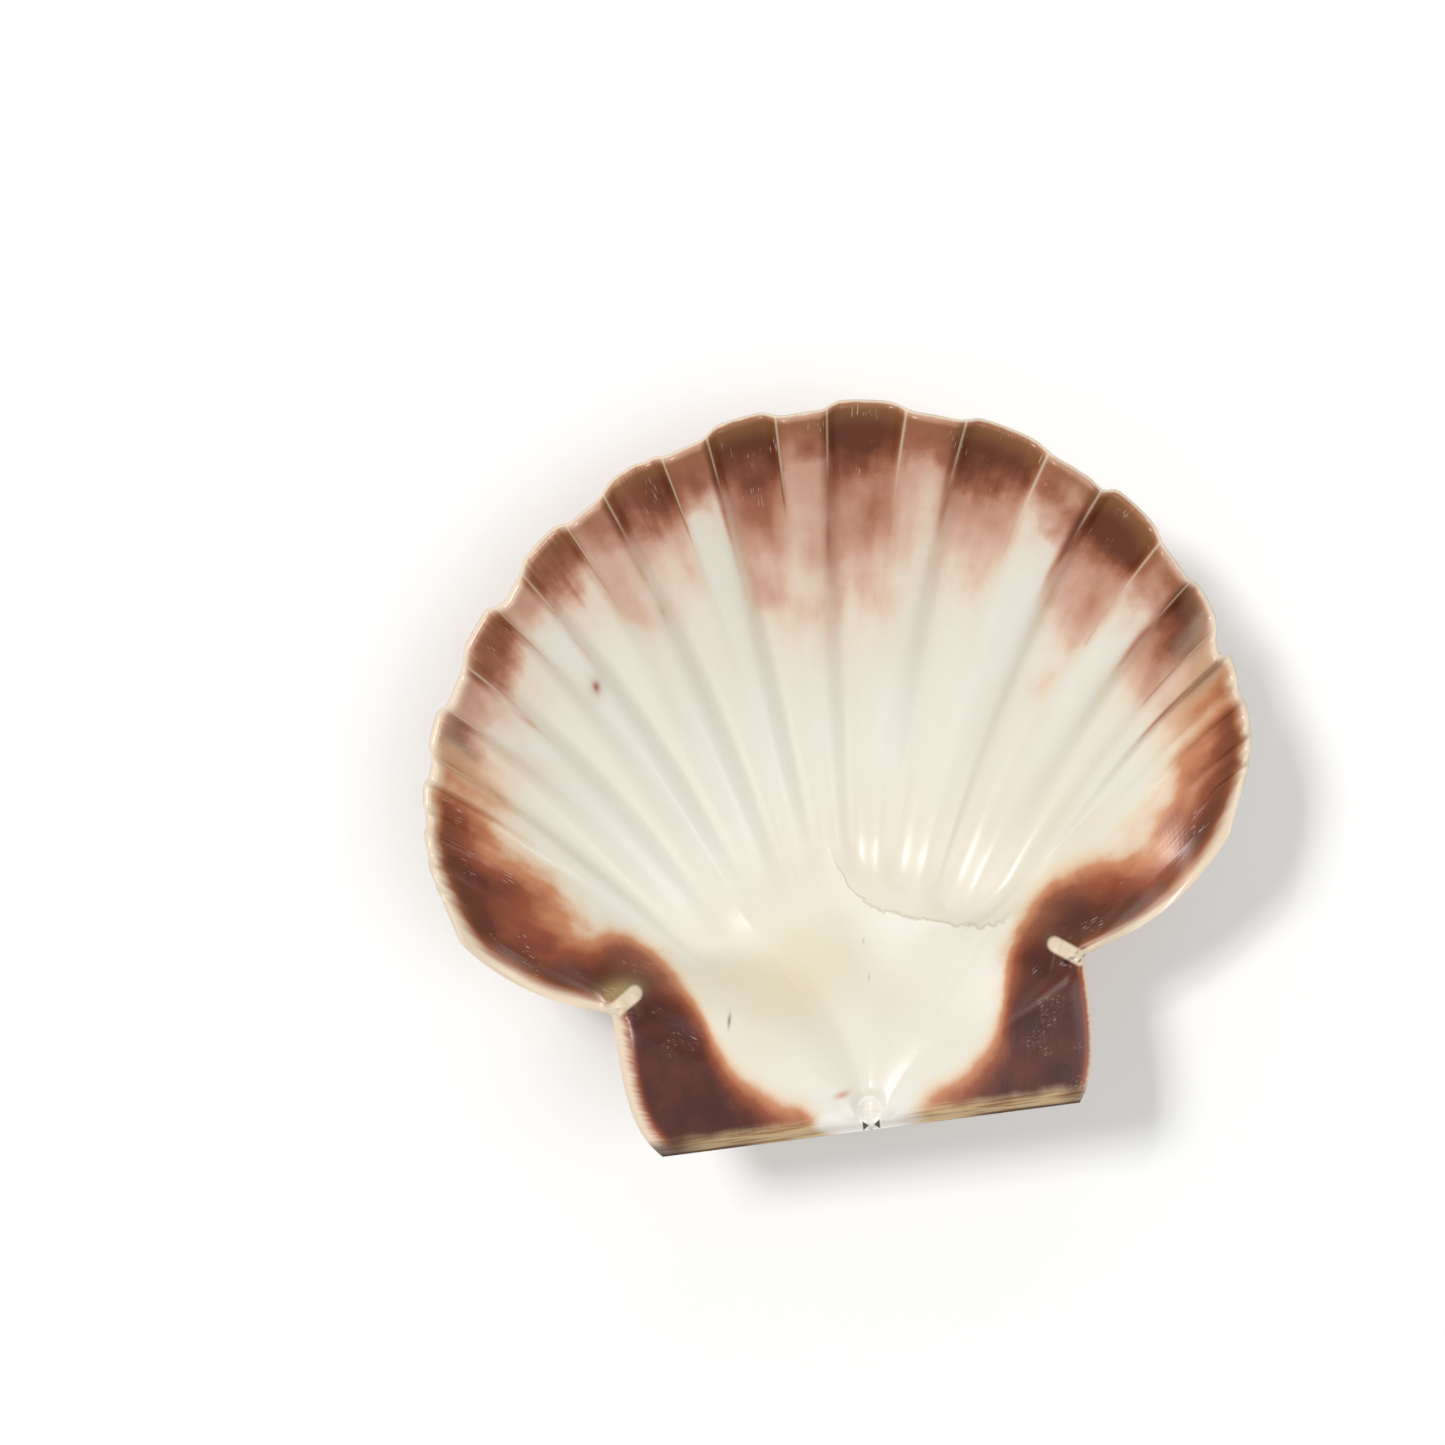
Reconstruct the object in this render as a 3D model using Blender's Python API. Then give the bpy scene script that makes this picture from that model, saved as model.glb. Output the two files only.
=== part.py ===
"""The cupped valve of a great scallop, lying on its back with the hollow up.

Frame: metres, +Z up.  The hinge line runs along X, the fan opens towards +Y, and the origin is
on the table under the middle of the shell's box.

The valve is built the way the animal builds it.  A rim (the growing edge) is drawn in the plane
where the two valves meet, with the hinge line on the X axis.  Every earlier stage of growth is
the same rim, made smaller by a factor, its age, and turned down about the hinge line.  Ribs run
from the beak to the rim along constant fan angles.
"""

import math

import bmesh
import bpy
import numpy as np
from mathutils import Matrix

MM = 0.001

# The rim, in polar form about the beak: fan angle in degrees (0 along the hinge to +X, 90 to the
# middle of the fan) against radius.
DISC_OUTLINE = (
    (31.0, 66.0),
    (34.0, 77.0),
    (38.0, 86.0),
    (43.0, 91.6),
    (50.0, 98.6),
    (60.0, 107.0),
    (71.0, 112.4),
    (84.0, 114.8),
    (97.0, 112.8),
    (109.0, 107.8),
    (120.0, 101.0),
    (130.0, 93.4),
    (138.0, 86.0),
    (144.0, 78.0),
    (147.0, 71.0),
    (149.5, 63.0),
)
EAR_HALF_WIDTHS = (37.4 * MM, 38.6 * MM)  # the ears' outer edges near the notches, right and left
HINGE_HALF_WIDTH = 33.4 * MM  # the hinge line's own end
EAR_CORNER = 5.0 * MM  # how fast the ear widens above the hinge line
EAR_ROUNDS = 30  # rounds in which the ear's edge settles
EAR_LIMIT = 50.0  # degrees from the hinge, past which no ear is worked out
NOTCH_ANGLES = (31.4, 148.4)  # where each ear meets the disc, right and left
NOTCH_SPAN = 1.7  # degrees over which the rim steps from ear to disc
DROOP = 3.4 * MM  # how far the disc's shoulders hang towards the hinge, past the notch
DROOP_RADII = (44.0 * MM, 78.0 * MM)
DROOP_SPREAD = 9.0  # degrees

# The cup.
COIL = (0.62, 0.15)  # turn about the hinge per unit, and per unit squared, of log shrinkage
OUTER_TURN = 1.75  # radians; the outside's beak leans a little out past the hinge
INNER_TURN = 0.82  # radians; the inside is filled in under the beak
FLANK_TURN = 0.4  # how much faster the flanks turn than the middle
FLANK = (20.0, 48.0)  # degrees from the middle
FLANK_AGES = (0.1, 0.55)
EAR_SHARE = 0.14  # share of the turn that the ears take
SHOULDER = (28.0, 47.0)  # degrees from the hinge over which the cup deepens
INNER_SHOULDER = 38.0  # degrees by which the inside's shoulder is wider at the beak
INNER_SHOULDER_AGES = (0.02, 0.6)
BEAK_FILL = 0.62  # share by which the inside is shallower at the beak
BEAK_FILL_AGES = (0.03, 0.46)
SHOULDER_AGES = (0.6, 0.95)
CROWDING = 0.45  # how far the ribs crowd to the middle near the beak

# The ribs.
MIDDLE_RIB = 93.2  # fan angle of the rib that stands square to the hinge, degrees
RIGHT_STEPS = (10.0, 11.7, 12.3, 9.6, 5.2, 3.7, 2.5, 1.8)  # to each next rib, degrees
LEFT_STEPS = (9.5, 9.5, 8.7, 9.8, 5.2, 3.7, 2.5, 1.8)
RIB_DEPTH = 3.2 * MM
RIB_SHARE = 0.54  # a rib's share of its step, the rest is the gap
RIB_WALL = 0.20  # share of a step that one side of a rib takes
RIDGE_AGES = (0.36, 0.98)  # the ridges inside start at the scar and are full at the rim
SIDE_RIDGE_DELAY = 0.50  # the narrow ones start this much later
RIDGE_START = 0.25  # share of their height at which they start
RIDGE_RISE = 0.05  # of age, over which they rise to that
EDGE_RIB_DEPTH = 0.25  # the narrow side ribs' depth, as a share of the wide ribs'
NARROW_TO_WIDE = (0.15, 0.7)  # steps, as shares of the widest, from fully narrow to fully wide

# The wall.
RIM_THICKNESS = 1.3 * MM
WALL_THICKNESS = 2.2 * MM
EAR_THICKNESS = 1.6 * MM
THINNING_AGE = 0.6  # from here to the rim the wall thins
HINGE_BAND = 2.6 * MM  # width of the bevelled ligament band along the hinge
HINGE_BAND_REACH = 9.0 * MM
CRURA = ((33.3 * MM, 25.8 * MM), (-35.0 * MM, 25.4 * MM))  # where the ears' low ridges end in knobs
CRUS_HEIGHT = 1.2 * MM
CRUS_WIDTH = 1.9 * MM
CRUS_START = 0.3  # share of its length at which it begins
CRUS_END = 3.0 * MM
PIT_SIZE = (2.4 * MM, 2.0 * MM)  # the ligament's pit: half width and half length
PIT_PLACE = 4.2 * MM  # from the hinge line
PIT_DEPTH = 1.2 * MM

# How it lies on the table.
REST_TILT = -1.62  # about X, degrees
REST_ROLL = -1.49  # about Y, degrees
WORN_DEPTH = 0.25 * MM  # worn off the ribs that it lies on

# The mesh.
AGE_STEP = 0.01  # share of an age, over which slopes are taken
BEAK_POINT = (1e-4, 90.0)  # age and fan angle of the point that closes the beak
RIM_AGES = (1.0, 0.975, 0.94, 0.89, 0.83, 0.76, 0.69, 0.61, 0.53, 0.46)
BEAK_AGES = (0.40, 0.36, 0.31, 0.26, 0.21, 0.165, 0.125, 0.09, 0.06, 0.035)
EAR_COLUMNS = 6
SHARP_ANGLE = 50.0
SHELL_COLOUR = (0.80, 0.73, 0.62, 1.0)
SHELL_ROUGHNESS = 0.35


def ease(value, low, high):
    """0 below low, 1 above high, and a smooth step between."""
    t = np.clip((value - low) / (high - low), 0.0, 1.0)
    return t * t * (3.0 - 2.0 * t)


def smooth_curve(points, at):
    """A cubic through the points, with slopes taken from each point's neighbours."""
    x, y = np.array(points, float).T
    slope = np.gradient(y, x)
    i = np.clip(np.searchsorted(x, at) - 1, 0, len(x) - 2)
    step = x[i + 1] - x[i]
    t = (at - x[i]) / step
    ends = (2 * t**3 - 3 * t**2 + 1) * y[i] + (3 * t**2 - 2 * t**3) * y[i + 1]
    slopes = (t**3 - 2 * t**2 + t) * slope[i] + (t**3 - t**2) * slope[i + 1]
    return ends + step * slopes


def from_hinge(angle):
    """Fan angle measured from the nearer end of the hinge."""
    return np.minimum(angle, 180.0 - angle)


def ear_radius(angle):
    rise = np.tan(np.radians(np.clip(from_hinge(angle), 0.0, EAR_LIMIT)))
    half = np.where(angle < 90.0, *EAR_HALF_WIDTHS)
    x = half
    for _ in range(EAR_ROUNDS):
        x = half - (half - HINGE_HALF_WIDTH) * np.exp(-x * rise / EAR_CORNER)
    return x * np.hypot(1.0, rise)


def disc_radius(angle):
    return smooth_curve(DISC_OUTLINE, np.clip(angle, DISC_OUTLINE[0][0], DISC_OUTLINE[-1][0])) * MM


def rim_radius(angle):
    right, left = NOTCH_ANGLES
    share = ease(angle, right, right + NOTCH_SPAN) * (1.0 - ease(angle, left - NOTCH_SPAN, left))
    return ear_radius(angle) * (1.0 - share) + disc_radius(angle) * share


def ray_angle(age, angle):
    """Direction of a fan line at this age, in degrees, in the rim's own plane."""
    right, left = NOTCH_ANGLES
    half = np.where(angle < 90.0, 90.0 - right, left - 90.0)
    off = (angle - 90.0) / half
    crowd = CROWDING * (1.0 - age) * np.clip(1.0 - off**2, 0.0, 1.0)
    bent = 90.0 + (angle - 90.0) * (1.0 - crowd)
    radius = age * rim_radius(angle)
    low, high = DROOP_RADII
    bump = np.sin(math.pi * np.clip((radius - low) / (high - low), 0.0, 1.0))
    spread = np.exp(-((np.maximum(from_hinge(angle) - right, 0.0) / DROOP_SPREAD) ** 2))
    sag = np.degrees(DROOP * bump * spread / np.maximum(radius, low))
    return bent - np.where(angle < 90.0, 1.0, -1.0) * sag


def disc_age(age, angle):
    """The age at which the disc, drawn on past the notches, reaches as far out."""
    return age * rim_radius(angle) / disc_radius(angle)


def turn(age, angle, most, shoulder, fill):
    """How far this stage has turned down about the hinge, in radians; an ear turns with its disc."""
    age = disc_age(age, angle)
    shrink = np.log(1.0 / age)
    flank = 1.0 + FLANK_TURN * ease(np.abs(angle - 90.0), *FLANK) * ease(age, *FLANK_AGES)
    full = most * np.tanh(flank * (COIL[0] * shrink + COIL[1] * shrink**2) / most)
    full *= 1.0 - fill * (1.0 - ease(age, *BEAK_FILL_AGES))
    low, high = SHOULDER
    high = high + shoulder * (1.0 - ease(age, *INNER_SHOULDER_AGES))
    shallow = (1.0 - ease(from_hinge(angle), low, high)) * (1.0 - ease(age, *SHOULDER_AGES))
    return full * (1.0 - (1.0 - EAR_SHARE) * shallow)


def coil(age, angle, most, shoulder=0.0, fill=0.0):
    """The smooth cup: points, and directions into the hollow, square to the growth."""
    radius = age * rim_radius(angle)
    ray = np.radians(ray_angle(age, angle))
    down = turn(age, angle, most, shoulder, fill)
    rate = (turn(age * (1.0 - AGE_STEP), angle, most, shoulder, fill) - down) / AGE_STEP
    along = radius * np.sin(ray)
    points = np.stack([radius * np.cos(ray), along * np.cos(down), -along * np.sin(down)], axis=-1)
    lean = np.sin(ray) * rate
    out_x = -np.cos(ray) * lean
    out_y = -np.sin(ray) * lean
    in_y = out_y * np.cos(down) + np.sin(down)
    in_z = np.cos(down) - out_y * np.sin(down)
    inward = np.stack([out_x, in_y, in_z], axis=-1)
    return points, inward / np.linalg.norm(inward, axis=-1, keepdims=True)


def rib_angles():
    """Fan angles of the ribs' middles, from the right ear to the left."""
    right = MIDDLE_RIB - np.cumsum(RIGHT_STEPS)
    left = MIDDLE_RIB + np.cumsum(LEFT_STEPS)
    return np.concatenate([right[::-1], [MIDDLE_RIB], left])


def rib_size(angle):
    """1 among the wide ribs of the middle and 0 among the narrow ones at the sides."""
    middles = rib_angles()
    steps = np.gradient(middles)
    return ease(np.interp(angle, middles, steps / steps.max()), *NARROW_TO_WIDE)


def rib_height(angle):
    """1 on top of a wide rib and 0 in a gap."""
    middles = rib_angles()
    count = len(middles)
    phase = np.interp(angle, middles, np.arange(count), left=-0.5, right=count - 0.5)
    off = np.abs(phase - np.round(phase))
    half = RIB_SHARE / 2
    wall = RIB_WALL / 2
    depth = EDGE_RIB_DEPTH + (1.0 - EDGE_RIB_DEPTH) * rib_size(angle)
    return depth * (1.0 - ease(off, half - wall, half + wall))


def outside(age, angle):
    points, inward = coil(age, angle, OUTER_TURN)
    relief = RIB_DEPTH * rib_height(angle) * age
    return points - inward * relief[..., None]


def ridge_height(age, angle):
    """Height of the ridges inside, from 0 above the scar to 1 at the rim."""
    start = RIDGE_AGES[0] + SIDE_RIDGE_DELAY * (1.0 - rib_size(angle))
    grown = RIDGE_START + (1.0 - RIDGE_START) * ease(age, start, RIDGE_AGES[1])
    return rib_height(angle) * grown * ease(age, start, start + RIDGE_RISE)


def wall_thickness(age, angle):
    deep = ease(from_hinge(angle), *SHOULDER)
    wall = EAR_THICKNESS + (WALL_THICKNESS - EAR_THICKNESS) * deep
    return wall + (RIM_THICKNESS - wall) * ease(disc_age(age, angle), THINNING_AGE, 1.0)


def crus_height(x, y):
    """The low ridge between each ear and the disc, swelling to a knob at its outer end."""
    height = np.zeros_like(x)
    for end_x, end_y in CRURA:
        length = math.hypot(end_x, end_y)
        along = (x * end_x + y * end_y) / length
        off = (x * end_y - y * end_x) / length
        swell = ease(along, CRUS_START * length, length) * (1.0 - ease(along, length, length + CRUS_END))
        height += CRUS_HEIGHT * swell * np.exp(-((off / CRUS_WIDTH) ** 2))
    return height


def inside(age, angle):
    points, inward = coil(age, angle, INNER_TURN, INNER_SHOULDER, BEAK_FILL)
    height = wall_thickness(age, angle) - RIB_DEPTH * ridge_height(age, angle)
    points = points + inward * height[..., None]
    x, y = points[..., 0], points[..., 1]
    bevel = HINGE_BAND * (1.0 - ease(y, 0.0, HINGE_BAND_REACH))
    pit = np.exp(-((x / PIT_SIZE[0]) ** 4) - ((y + bevel - PIT_PLACE) / PIT_SIZE[1]) ** 4)
    points[..., 2] += crus_height(x, y) - PIT_DEPTH * pit
    points[..., 1] += bevel
    return points


def column_angles():
    """Fan angles of the mesh columns: ears, notches, and six to every rib."""
    right, left = NOTCH_ANGLES
    middles = rib_angles()
    count = len(middles)
    steps = np.gradient(middles)
    half = RIB_SHARE / 2
    wall = RIB_WALL / 2
    marks = (-0.5, -half - wall, -half + wall, 0.0, half - wall, half + wall)
    ribs = [middle + mark * step for middle, step in zip(middles, steps) for mark in marks]
    ribs = [a for a in ribs if right + NOTCH_SPAN < a < left - NOTCH_SPAN]
    ear = np.degrees(np.arctan(np.linspace(0.0, math.tan(math.radians(right)), EAR_COLUMNS + 1)))
    notch = NOTCH_SPAN / 2
    angles = list(ear) + [right + notch, right + 2 * notch] + ribs
    angles += [left - 2 * notch, left - notch] + list(180.0 - ear[::-1] * (180.0 - left) / right)
    return np.array(sorted(angles))


def grid_faces(rows, columns, start, flip):
    """Quads of one surface whose first row is the rim, and its fan of triangles at the beak."""
    faces = []
    for r in range(rows - 1):
        for c in range(columns - 1):
            a = start + r * columns + c
            faces.append((a, a + 1, a + 1 + columns, a + columns))
    pole = start + rows * columns
    last = start + (rows - 1) * columns
    faces += [(last + c, last + c + 1, pole) for c in range(columns - 1)]
    return [face[::-1] for face in faces] if flip else faces


def border(rows, columns, start):
    """The surface's edge: along the rim from right to left, then back by way of the beak."""
    rim = [start + c for c in range(columns)]
    left = [start + r * columns + columns - 1 for r in range(1, rows)]
    right = [start + r * columns for r in range(rows - 1, 0, -1)]
    return rim + left + [start + rows * columns] + right


def shell_vertices():
    ages = np.array(RIM_AGES + BEAK_AGES)
    angles = column_angles()
    age_grid, angle_grid = np.meshgrid(ages, angles, indexing="ij")
    outer = outside(age_grid, angle_grid).reshape(-1, 3)
    inner = inside(age_grid, angle_grid).reshape(-1, 3)
    beak_age, beak_angle = np.array([BEAK_POINT]).T
    outer_pole = outside(beak_age, beak_angle)
    inner_pole = inside(beak_age, beak_angle)
    return np.concatenate([outer, outer_pole, inner, inner_pole]), len(ages), len(angles)


def laid_down(points):
    """Tilt the shell to the way it lies, wear its lowest ribs flat and set it on the table."""
    tilt = Matrix.Rotation(math.radians(REST_TILT), 3, "X")
    roll = Matrix.Rotation(math.radians(REST_ROLL), 3, "Y")
    points = points @ np.array(roll @ tilt).T
    points[:, 2] = np.maximum(points[:, 2] - points[:, 2].min() - WORN_DEPTH, 0.0)
    middle = (points.min(axis=0) + points.max(axis=0)) / 2
    return points - np.array([middle[0], middle[1], 0.0])


def shell_mesh():
    points, rows, columns = shell_vertices()
    size = rows * columns + 1
    faces = grid_faces(rows, columns, 0, True) + grid_faces(rows, columns, size, False)
    outer_edge = border(rows, columns, 0)
    inner_edge = border(rows, columns, size)
    count = len(outer_edge)
    for i in range(count):
        j = (i + 1) % count
        faces.append((outer_edge[i], outer_edge[j], inner_edge[j], inner_edge[i]))
    mesh = bpy.data.meshes.new("scallop_valve")
    mesh.from_pydata(laid_down(points).tolist(), [], faces)
    work = bmesh.new()
    work.from_mesh(mesh)
    bmesh.ops.recalc_face_normals(work, faces=work.faces)
    bmesh.ops.triangulate(work, faces=work.faces)
    work.to_mesh(mesh)
    work.free()
    mesh.shade_smooth()
    mesh.set_sharp_from_angle(angle=math.radians(SHARP_ANGLE))
    return mesh


def shell_material():
    material = bpy.data.materials.new("shell")
    material.use_nodes = True
    surface = material.node_tree.nodes["Principled BSDF"]
    surface.inputs["Base Color"].default_value = SHELL_COLOUR
    surface.inputs["Roughness"].default_value = SHELL_ROUGHNESS
    return material


def main():
    for old in list(bpy.data.objects):
        bpy.data.objects.remove(old, do_unlink=True)
    valve = bpy.data.objects.new("scallop_valve", shell_mesh())
    valve.data.materials.append(shell_material())
    bpy.context.scene.collection.objects.link(valve)


main()
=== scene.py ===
"""The cupped valve of a great scallop, lying on its back with its hollow up.

The valve is grown by a Geometry Nodes tree.  Python lays out a net whose points know only their
age (1 at the rim, 0 at the beak), their fan angle (0 along the hinge to the right, 90 in the
middle of the fan) and their side (0 outside, 1 inside).  The tree turns and shrinks the rim about
the hinge line, raises the ribs and bevels the hinge.  One material colours the shell from the
same ages and angles.
"""

import math

import bpy
import numpy as np
from mathutils import Matrix, Vector, kdtree


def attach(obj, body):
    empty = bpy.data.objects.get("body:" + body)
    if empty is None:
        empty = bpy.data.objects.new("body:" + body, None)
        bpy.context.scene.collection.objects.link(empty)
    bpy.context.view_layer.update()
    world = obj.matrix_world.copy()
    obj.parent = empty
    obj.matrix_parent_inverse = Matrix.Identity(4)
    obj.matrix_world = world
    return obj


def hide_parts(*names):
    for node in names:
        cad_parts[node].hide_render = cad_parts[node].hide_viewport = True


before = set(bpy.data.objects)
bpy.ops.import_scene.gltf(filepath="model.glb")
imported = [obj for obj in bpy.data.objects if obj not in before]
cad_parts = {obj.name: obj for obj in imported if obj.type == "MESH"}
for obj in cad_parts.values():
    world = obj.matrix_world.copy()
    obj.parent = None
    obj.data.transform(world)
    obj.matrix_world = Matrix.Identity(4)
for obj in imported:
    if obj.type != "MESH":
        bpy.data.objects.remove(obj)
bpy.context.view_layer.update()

MM = 0.001
NODE = "scallop_valve"

# ---------------------------------------------------------------------------------------------
# The shell's growth, in millimetres and degrees
# ---------------------------------------------------------------------------------------------

# The rim in polar form about the beak: fan angle against radius.
DISC_OUTLINE = (
    (31.0, 66.0),
    (34.0, 77.0),
    (38.0, 86.0),
    (43.0, 91.6),
    (50.0, 98.6),
    (60.0, 107.0),
    (71.0, 112.4),
    (84.0, 114.8),
    (97.0, 112.8),
    (109.0, 107.8),
    (120.0, 101.0),
    (130.0, 93.4),
    (138.0, 86.0),
    (144.0, 78.0),
    (147.0, 71.0),
    (149.5, 63.0),
)
# Chips in the rim: fan angle, depth, half width in degrees.
RIM_CHIPS = ((46.6, 1.3, 1.0), (62.6, 0.9, 0.8), (101.2, 0.5, 0.6), (117.0, 0.5, 0.7))
EAR_HALF_WIDTHS = (37.4, 38.6)  # right and left
HINGE_HALF_WIDTH = 33.4
EAR_CORNER = 5.0  # how fast an ear widens above the hinge line
EAR_ROUNDS = 30  # rounds in which the ear's edge settles
EAR_LIMIT = 50.0  # degrees from the hinge, past which no ear is worked out
NOTCHES = (31.4, 148.4)  # where each ear meets the disc
NOTCH_SPAN = 1.7

# The net: how many columns and rows, and how close together.
RIM_POINTS = 4001
NOTCH_COLUMNS = 60
EAR_COLUMNS = 34
EAR_CROWDING = 1.25
RIB_COLUMNS = 20
RIB_CROWDING = 0.03
WIDE_STEP = 4.0  # a narrower rib has half the columns
COLUMN_GAP = 0.15
EDGE_ROWS, EDGE_DEPTH, EDGE_CROWDING = 9, 0.016, 1.6
FAN_ROWS, BEAK_ROWS = 70, 26
BEAK_AGE, LAST_AGE, POLE_AGE = 0.32, 0.012, 1e-3
EDGE_STEP = 0.125  # columns from one point to the next where the grown rim is measured to

MIDDLE_RIB = 93.2
RIGHT_STEPS = (10.0, 11.7, 12.3, 9.6, 5.2, 3.7, 2.5, 1.8)
LEFT_STEPS = (9.5, 9.5, 8.7, 9.8, 5.2, 3.7, 2.5, 1.8)
NARROW_TO_WIDE = (0.15, 0.7)  # shares of the widest step between which a rib comes to full size

# What the growing tree is given: its named inputs.
GROWTH = {
    "Coil": 0.62,
    "Coil Quickening": 0.15,
    "Outer Turn": 1.75,
    "Inner Turn": 0.82,
    "Flank Turn": 0.4,
    "Inner Shoulder": 38.0,
    "Beak Fill": 0.62,
    "Ear Share": 0.14,
    "Crowding": 0.45,
    "Droop": 3.4 * MM,
    "Rib Depth": 3.2 * MM,
    "Rib Share": 0.54,
    "Rib Wall": 0.20,
    "Rib Unevenness": 0.35 * MM,
    "Scar Age": 0.36,
    "Keel Height": 0.30 * MM,
    "Side Ridge Delay": 0.50,
    "Growth Step": 0.35 * MM,
    "Rim Thickness": 1.3 * MM,
    "Wall Thickness": 2.2 * MM,
    "Ear Thickness": 1.6 * MM,
    "Hinge Band": 2.6 * MM,
    "Knob Height": 1.2 * MM,
    "Crus Height": 0.15 * MM,
    "Pit Depth": 1.3 * MM,
}
# Each knob: where it begins, at the notch, and where it ends, on the shell's inside.
KNOBS = (
    ((36.6 * MM, 22.7 * MM), (33.2 * MM, 25.1 * MM)),
    ((-38.0 * MM, 24.0 * MM), (-34.7 * MM, 26.0 * MM)),
)
KNOB_SIDES = (0.35 * MM, 1.9 * MM)  # from its middle line, where it begins and ends to fall
KNOB_TAPER = 1.3  # millimetres from the rim over which it rises
CRUS_START, CRUS_END, CRUS_WIDTH = 0.45, 2.0 * MM, 1.8 * MM  # the low ridge that leads to a knob
PIT_PLACE, PIT_SIZE, PIT_EDGE = 3.15 * MM, (2.2 * MM, 1.9 * MM), 1.5 * MM
GROWTH_SEED = 3.7
KEEL_SEED = 8.7

# Where each turn, slope and thickness of the wall begins and ends: ages, or degrees from the hinge.
FLANK, FLANK_AGES = (20.0, 48.0), (0.1, 0.55)
SHOULDER, SHOULDER_AGES = (28.0, 47.0), (0.6, 0.95)
INNER_SHOULDER_AGES = (0.02, 0.6)
BEAK_FILL_AGES = (0.03, 0.46)
THINNING_AGES = (0.6, 1.0)
AGE_STEP = 0.01
FAN_HALF = 58.5
DROOP_START, DROOP_RANGE, DROOP_SPREAD = 44.0 * MM, 34.0 * MM, 9.0
LIP_RADIUS = 0.9  # millimetres
NOTCH_LIP, NOTCH_SIDES, NOTCH_AGES = 3.2, (32.8, 35.5), (0.5, 0.8)
HINGE_SEAM = 1.2 * MM

# The ribs' relief.
CROWN = 0.12
NARROW_DEPTH = 0.25  # share of a wide rib's depth
UNEVEN_AGES = (0.2, 0.6)
GROWTH_STOPS = (0.945, 0.87, 0.74, 0.58)  # ages at which growth stopped for a while
STOP_WAVER, STOP_EDGE, STOP_RISE = 0.012, 0.004, 0.05
GROOVE_SPREAD, GROOVE_AGES = 0.92, (0.45, 0.97)
GROOVE_START, GROOVE_FULL = 0.25, 0.98
SCAR_FAN, SCAR_RISES = (78.0, 100.0), (0.045, 0.26)
KEEL_OFF, KEEL_WIDTH, KEEL_AGES, KEEL_BREAKS = 0.4, 0.022, (0.70, 0.97), (0.32, 0.6)

# How it lies on the table.
REST_TILT = -1.62
REST_ROLL = -1.49
WORN_DEPTH = 0.25 * MM


def ease(value, low, high):
    t = np.clip((value - low) / (high - low), 0.0, 1.0)
    return t * t * (3.0 - 2.0 * t)


def smooth_curve(points, at):
    """A cubic through the points, with slopes taken from each point's neighbours."""
    x, y = np.array(points, float).T
    slope = np.gradient(y, x)
    i = np.clip(np.searchsorted(x, at) - 1, 0, len(x) - 2)
    step = x[i + 1] - x[i]
    t = (at - x[i]) / step
    ends = (2 * t**3 - 3 * t**2 + 1) * y[i] + (3 * t**2 - 2 * t**3) * y[i + 1]
    slopes = (t**3 - 2 * t**2 + t) * slope[i] + (t**3 - t**2) * slope[i + 1]
    return ends + step * slopes


def disc_radius(angle):
    """How far the disc's rim stands from the beak; past the notches, as far as at the notch."""
    disc = smooth_curve(DISC_OUTLINE, np.clip(angle, DISC_OUTLINE[0][0], DISC_OUTLINE[-1][0]))
    for place, depth, width in RIM_CHIPS:
        disc -= depth * np.exp(-(((angle - place) / width) ** 2))
    return disc * MM


def rim_radius(angle):
    """How far the rim stands from the beak at each fan angle, in metres."""
    right, left = NOTCHES
    rise = np.tan(np.radians(np.clip(np.minimum(angle, 180.0 - angle), 0.0, EAR_LIMIT)))
    half = np.where(angle < 90.0, *EAR_HALF_WIDTHS)
    x = half
    for _ in range(EAR_ROUNDS):
        x = half - (half - HINGE_HALF_WIDTH) * np.exp(-x * rise / EAR_CORNER)
    ear = x * np.hypot(1.0, rise)
    share = ease(angle, right, right + NOTCH_SPAN) * (1.0 - ease(angle, left - NOTCH_SPAN, left))
    return ear * MM * (1.0 - share) + disc_radius(angle) * share


def rib_middles():
    right = MIDDLE_RIB - np.cumsum(RIGHT_STEPS)
    left = MIDDLE_RIB + np.cumsum(LEFT_STEPS)
    return np.concatenate([right[::-1], [MIDDLE_RIB], left])


def rib_phase(angle):
    """Whole numbers at the ribs' middles and halves in the gaps between them."""
    middles = rib_middles()
    count = len(middles)
    return np.interp(angle, middles, np.arange(count), left=-0.5, right=count - 0.5)


def rib_size(angle):
    """1 among the wide ribs and 0 among the narrow ones beside the ears."""
    middles = rib_middles()
    steps = np.gradient(middles)
    return ease(np.interp(angle, middles, steps / steps.max()), *NARROW_TO_WIDE)


def net_angles():
    """Fan angles of the net's columns: close together at the hinge, the notches and rib sides."""
    right, left = NOTCHES
    middles = rib_middles()
    steps = np.gradient(middles)
    shares = np.linspace(-0.5, 0.5, RIB_COLUMNS + 1)[:-1]
    shares = shares + RIB_CROWDING * np.sin(4.0 * math.pi * shares)
    ribs = [m + s * w for m, w in zip(middles, steps) for s in shares[:: 1 if w > WIDE_STEP else 2]]
    first, last = right + NOTCH_SPAN, left - NOTCH_SPAN
    ribs = [a for a in ribs if first + COLUMN_GAP < a < last - COLUMN_GAP]
    ear = np.linspace(0.0, 1.0, EAR_COLUMNS) ** EAR_CROWDING * right
    step = np.linspace(0.0, 1.0, NOTCH_COLUMNS + 1)[1:] * NOTCH_SPAN
    far_ear = 180.0 - ear * (180.0 - left) / right
    return np.array(sorted([*ear, *(right + step), *ribs, *(left - step), *far_ear]))


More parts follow.
